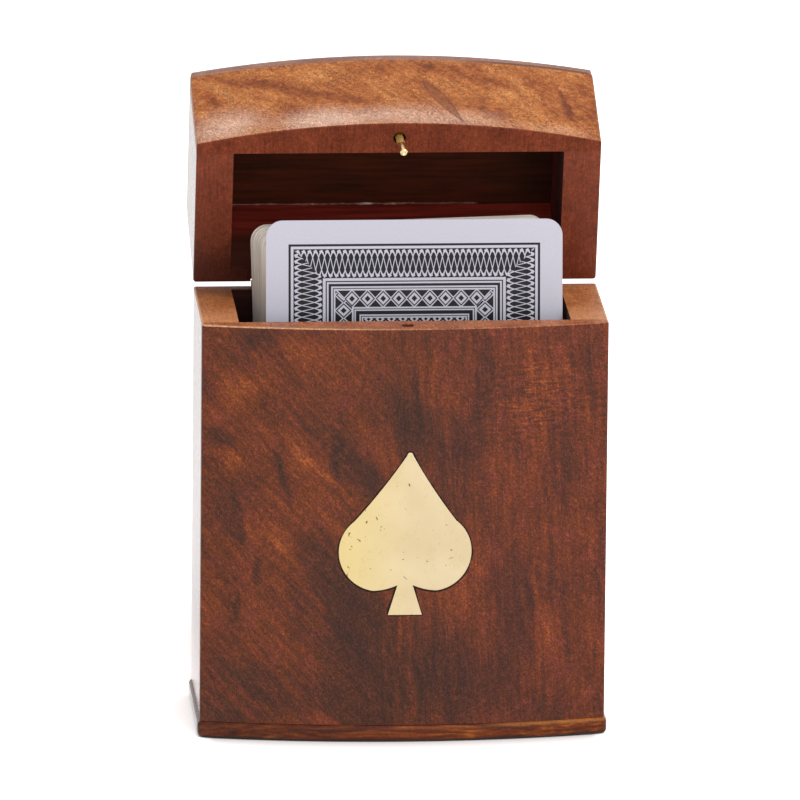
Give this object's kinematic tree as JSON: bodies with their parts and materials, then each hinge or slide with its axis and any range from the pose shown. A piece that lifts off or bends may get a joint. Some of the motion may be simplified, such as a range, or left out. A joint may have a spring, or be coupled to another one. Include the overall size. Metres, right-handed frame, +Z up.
{
  "type": "playing card box with a flip-top lid",
  "caption": "Bow-fronted hardwood box for a deck of playing cards, with a rear-hinged flip-top lid, a brass spade inlay, a brass locating pin and the deck inside, lid open.",
  "frame": {"origin": "centre of the base plate's underside, halfway through the box's depth and width", "axes": "+X to the right seen from the bowed front, +Y to the hinged back, +Z up"},
  "size_m": [0.079, 0.0617, 0.1239],
  "materials": {
    "front_wood": "lacquered",
    "side_wood": "lacquered",
    "lid_wood": "lacquered",
    "inner_wood": "lacquered",
    "base_wood": "lacquered",
    "brass": "polished",
    "card_stock": "coated"
  },
  "bodies": {
    "box": {"front_panel": "front_wood", "back_panel": "side_wood", "left_side": "side_wood", "right_side": "side_wood", "floor_board": "inner_wood", "base_plate": "base_wood", "spade_inlay": "brass", "left_hinge_body_leaf": "brass", "left_hinge_pin": "brass", "right_hinge_body_leaf": "brass", "right_hinge_pin": "brass", "body_hinge_nails": "brass"},
    "lid": {"lid_front": "lid_wood", "lid_back": "side_wood", "lid_left": "lid_wood", "lid_right": "lid_wood", "lid_top": "lid_wood", "locating_pin": "brass", "left_hinge_lid_leaf": "brass", "right_hinge_lid_leaf": "brass", "lid_hinge_nails": "brass"},
    "deck": {"front_card": "card_stock", "card_deck": "card_stock"}
  },
  "joints": [
    {"name": "lid_hinge", "type": "hinge", "parent": "box", "child": "lid", "pos_m": [0, 0.01835, 0.08178], "axis": [-1, 0, 0], "range_deg": [-72, 108]},
    {"name": "deck_lift", "type": "slide", "parent": "box", "child": "deck", "axis": [0, 0.1184, 0.993], "range_m": [0, 0.004]}
  ]
}
